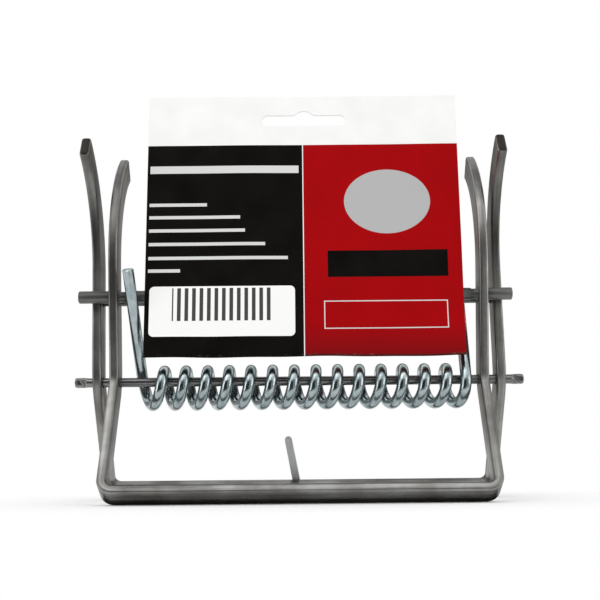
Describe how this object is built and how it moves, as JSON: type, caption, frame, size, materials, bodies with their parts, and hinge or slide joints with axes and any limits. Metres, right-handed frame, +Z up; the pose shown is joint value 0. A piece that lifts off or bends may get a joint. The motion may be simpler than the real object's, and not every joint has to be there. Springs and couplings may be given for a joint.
{
  "type": "mole trap",
  "caption": "Squeeze-handle mole trap: two crossed flat-bar frames on a pivot rod, closed by a torsion spring, with a plain folded hang card on its stop bar.",
  "frame": {"origin": "middle of the footprint, on the surface that the two handle bars stand on", "axes": "+X along the pivot rod to the right, +Y away from the viewer, +Z up towards the jaw tips"},
  "size_m": [0.144, 0.0524, 0.1333],
  "materials": {
    "frame_steel": "dull galvanised flat bar with drawing streaks",
    "bar_steel": "dull grey drawn bar",
    "spring_zinc": "glossy bluish zinc plate",
    "tongue_steel": "pale zinc plate",
    "card": "printed card with a white header, a black panel and a red panel"
  },
  "bodies": {
    "outer_jaw": {"outer_jaw_frame": "frame_steel", "outer_jaw_bar": "bar_steel", "pivot_rod": "bar_steel", "torsion_spring": "spring_zinc", "tongue_pin": "tongue_steel"},
    "inner_jaw": {"inner_jaw_frame": "frame_steel", "stop_bar": "bar_steel", "hang_card": "card"},
    "catch": {"catch_tongue": "tongue_steel"}
  },
  "joints": [
    {"name": "jaw_pivot", "type": "hinge", "parent": "outer_jaw", "child": "inner_jaw", "pos_m": [0, -0.00098, 0.03817], "axis": [1, 0, 0], "range_deg": [0, 46], "stiffness_Nm_per_rad": 3.1, "springref_deg": -29.79, "deforming": ["torsion_spring"]},
    {"name": "tongue_swing", "type": "hinge", "parent": "outer_jaw", "child": "catch", "pos_m": [-0.0013, 0.02368, 0.00517], "axis": [0, 0.8554, 0.518], "range_deg": [-60, 80]}
  ]
}
